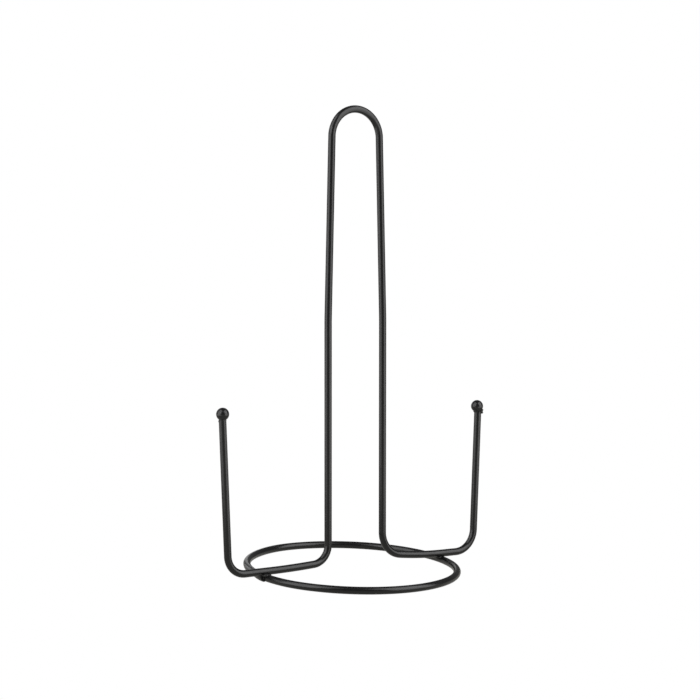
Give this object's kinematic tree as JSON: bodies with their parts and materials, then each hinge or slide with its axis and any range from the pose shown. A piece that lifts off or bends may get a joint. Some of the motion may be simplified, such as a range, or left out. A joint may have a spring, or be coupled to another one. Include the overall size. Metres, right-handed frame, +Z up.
{
  "type": "paper towel holder",
  "caption": "Countertop stand of black wire: a tall closed mast for the roll, two side uprights with ball ends and a flat hoop as base.",
  "frame": {"origin": "centre of the base hoop, on the counter", "axes": "+Z up, +X along the two arms to the right, -Y to the front, so the mast leans towards +Y"},
  "size_m": [0.2031, 0.141, 0.2946],
  "materials": {
    "black_coating": "satin"
  },
  "bodies": {
    "root": {"base_ring": "black_coating", "frame_wire": "black_coating", "left_ball": "black_coating", "right_ball": "black_coating", "ring_butt_weld": "black_coating", "left_crossing_weld": "black_coating", "right_crossing_weld": "black_coating", "left_ball_weld": "black_coating", "right_ball_weld": "black_coating"}
  },
  "joints": []
}
